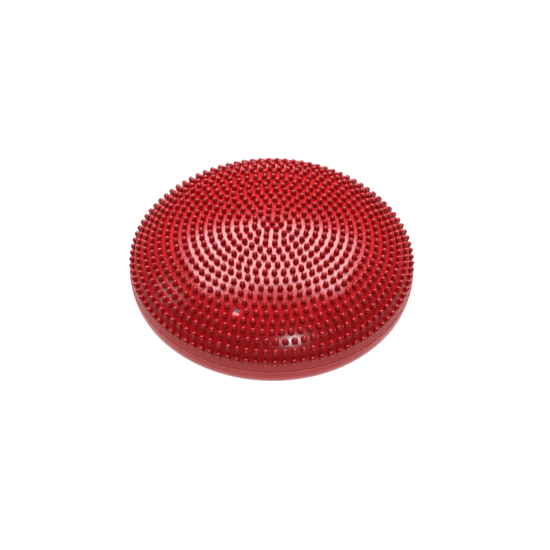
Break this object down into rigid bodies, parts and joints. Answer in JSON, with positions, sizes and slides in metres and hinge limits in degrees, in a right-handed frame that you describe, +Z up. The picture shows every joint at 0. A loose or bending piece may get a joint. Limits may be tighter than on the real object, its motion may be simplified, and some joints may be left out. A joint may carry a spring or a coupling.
{
  "type": "wobble cushion",
  "caption": "Round inflatable balance cushion with a domed upper side covered in rings of small nubs, a recessed needle valve near the rim and a low domed underside.",
  "frame": {"origin": "centre of the flat patch of the underside that rests on the floor", "axes": "+Z up through the middle of the dome; +X through the first nub of each ring; the valve lies towards -Y, a little towards -X"},
  "size_m": [0.3307, 0.3308, 0.1143],
  "materials": {
    "red_pvc": "glossy flexible PVC",
    "pocket_pvc": "matt flexible PVC",
    "plug_rubber": "matt grey rubber"
  },
  "bodies": {
    "bladder": {"upper_shell": "red_pvc", "lower_shell": "red_pvc", "seam_bead": "red_pvc", "valve_pocket": "pocket_pvc"},
    "plug": {"valve_plug": "plug_rubber"}
  },
  "joints": [
    {"name": "valve_plug_pull", "type": "slide", "parent": "bladder", "child": "plug", "axis": [-0.0936, -0.366, 0.9259], "range_m": [0, 0.018]}
  ]
}
